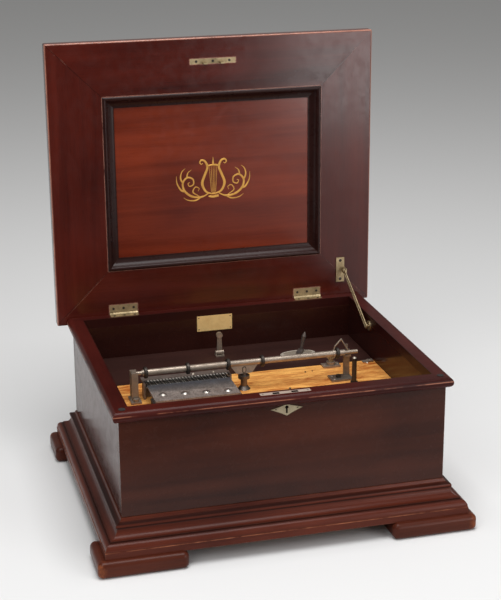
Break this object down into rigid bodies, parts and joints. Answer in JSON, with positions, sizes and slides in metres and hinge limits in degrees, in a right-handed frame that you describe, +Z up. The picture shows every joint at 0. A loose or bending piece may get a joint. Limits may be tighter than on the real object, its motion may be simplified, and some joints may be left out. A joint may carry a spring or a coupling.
{
  "type": "wind-up disc music box",
  "caption": "Table disc music box: moulded wooden case with hinged panelled lid and stay, tuned comb and star wheels under a lifting pressure bar, spring motor with winding crank and governor.",
  "frame": {"origin": "centre of the base at the underside of the feet", "axes": "+Z up, -Y is the front with the keyhole, +X to the right seen from the front"},
  "size_m": [0.564, 0.484, 0.6733],
  "materials": {
    "mahogany": "polished",
    "dark_mahogany": "polished",
    "panel_wood": "polished",
    "moulding_wood": "polished",
    "pine": "plain",
    "gilt_bed": "bronze lacquer",
    "nickel": "nickel plate",
    "dark_steel": "blued",
    "comb_steel": "ground",
    "cast_iron": "painted",
    "steel": "machined",
    "brass": "aged",
    "label_brass": "satin",
    "escutcheon_nickel": "worn plate",
    "felt": "felt"
  },
  "bodies": {
    "case": {"bottom_board": "pine", "front_wall": "mahogany", "back_wall": "mahogany", "side_walls": "mahogany", "top_rim": "mahogany", "base_moulding": "dark_mahogany", "corner_feet": "dark_mahogany", "bed_cleats": "pine", "bedplate": "gilt_bed", "rear_shelf": "dark_mahogany", "label_plate": "label_brass", "keyhole_escutcheon": "escutcheon_nickel", "lock_body": "brass", "stay_stud": "dark_steel", "hinge_case_leaves": "brass", "hinge_pins": "brass", "case_screws": "brass", "rim_buffers": "felt", "comb_base": "cast_iron", "comb": "comb_steel", "comb_screws": "nickel", "star_wheel_rack": "dark_steel", "centre_spindle": "dark_steel", "bar_pivot_post": "nickel", "bar_rest_post": "nickel", "edge_lever_foot": "nickel", "crank_escutcheon": "nickel", "drive_bearing_plate": "nickel", "motor_bottom_plate": "brass", "motor_top_plate": "brass", "motor_pillars": "steel"},
    "lid": {"lid_frame": "mahogany", "lid_panel": "panel_wood", "lid_moulding": "moulding_wood", "strike_plate": "brass", "hinge_lid_leaves": "brass", "stay_plate": "brass", "lid_screws": "brass"},
    "stay": {"stay_arm": "brass"},
    "bar": {"pressure_bar": "nickel", "hold_down_bracket": "nickel", "bar_lift_loop": "nickel"},
    "rollers": {"pressure_rollers": "dark_steel"},
    "stars": {"star_wheels": "dark_steel"},
    "start_post": {"start_lever": "dark_steel"},
    "edge_guide": {"edge_lever": "nickel"},
    "crank": {"winding_crank": "nickel", "winding_shaft": "steel"},
    "arbor": {"winding_arbor": "steel", "winding_wheel": "brass"},
    "click": {"ratchet_click": "steel"},
    "barrel": {"spring_barrel": "brass", "barrel_cover": "brass", "mainspring": "steel"},
    "drive": {"drive_arbor": "dark_steel", "governor_wheel": "brass"},
    "governor": {"governor_arbor": "steel"},
    "fly": {"governor_worm": "steel"},
    "bolt": {"lock_bolt": "steel"}
  },
  "joints": [
    {"name": "lid_hinge", "type": "hinge", "parent": "case", "child": "lid", "pos_m": [0, 0.204, 0.233], "axis": [-1, 0, 0], "range_deg": [-90.5, 0]},
    {"name": "stay_pivot", "type": "hinge", "parent": "lid", "child": "stay", "pos_m": [0.218, 0.19638, 0.27607], "axis": [-1, 0, 0], "range_deg": [0, 112.4]},
    {"name": "bar_lift", "type": "hinge", "parent": "case", "child": "bar", "pos_m": [-0.18, -0.002, 0.2075], "axis": [0, -1, 0], "range_deg": [0, 80]},
    {"name": "roller_spin", "type": "hinge", "parent": "bar", "child": "rollers", "pos_m": [0, -0.002, 0.2075], "axis": [1, 0, 0], "continuous": true},
    {"name": "star_spin", "type": "hinge", "parent": "case", "child": "stars", "pos_m": [-0.0975, -0.002, 0.188], "axis": [1, 0, 0], "continuous": true},
    {"name": "start_turn", "type": "hinge", "parent": "case", "child": "start_post", "pos_m": [0.16, -0.03, 0.165], "axis": [0, 0, 1], "range_deg": [0, 60]},
    {"name": "edge_tilt", "type": "hinge", "parent": "case", "child": "edge_guide", "pos_m": [-0.01, 0.149, 0.171], "axis": [-1, 0, 0], "range_deg": [0, 35]},
    {"name": "crank_turn", "type": "hinge", "parent": "case", "child": "crank", "pos_m": [0.1135, 0.112, 0.17], "axis": [0, 0, 1], "continuous": true},
    {"name": "arbor_turn", "type": "hinge", "parent": "case", "child": "arbor", "pos_m": [0.15249, 0.1129, 0.13], "axis": [0, 0, 1], "continuous": true},
    {"name": "click_pivot", "type": "hinge", "parent": "case", "child": "click", "pos_m": [0.18839, 0.12185, 0.125], "axis": [0, 0, -1], "range_deg": [0, 12], "stiffness_Nm_per_rad": 0.01, "springref_deg": -5.73},
    {"name": "barrel_turn", "type": "hinge", "parent": "case", "child": "barrel", "pos_m": [0.15249, 0.1129, 0.1], "axis": [0, 0, 1], "continuous": true},
    {"name": "drive_turn", "type": "hinge", "parent": "case", "child": "drive", "pos_m": [0.149, 0.053, 0.1], "axis": [0, 0, 1], "continuous": true},
    {"name": "governor_turn", "type": "hinge", "parent": "case", "child": "governor", "pos_m": [0.113, 0.053, 0.1], "axis": [0, 0, 1], "continuous": true},
    {"name": "fly_turn", "type": "hinge", "parent": "case", "child": "fly", "pos_m": [0.089, 0.053, 0.102], "axis": [0, 1, 0], "continuous": true},
    {"name": "bolt_slide", "type": "slide", "parent": "case", "child": "bolt", "axis": [1, 0, 0], "range_m": [0, 0.004]}
  ],
  "couplings": [
    {"joint": "stay_pivot", "follows": "lid_hinge", "ratio": -1.2364},
    {"joint": "arbor_turn", "follows": "crank_turn", "ratio": -0.3},
    {"joint": "drive_turn", "follows": "barrel_turn", "ratio": -4},
    {"joint": "governor_turn", "follows": "barrel_turn", "ratio": 20},
    {"joint": "fly_turn", "follows": "barrel_turn", "ratio": 600}
  ]
}
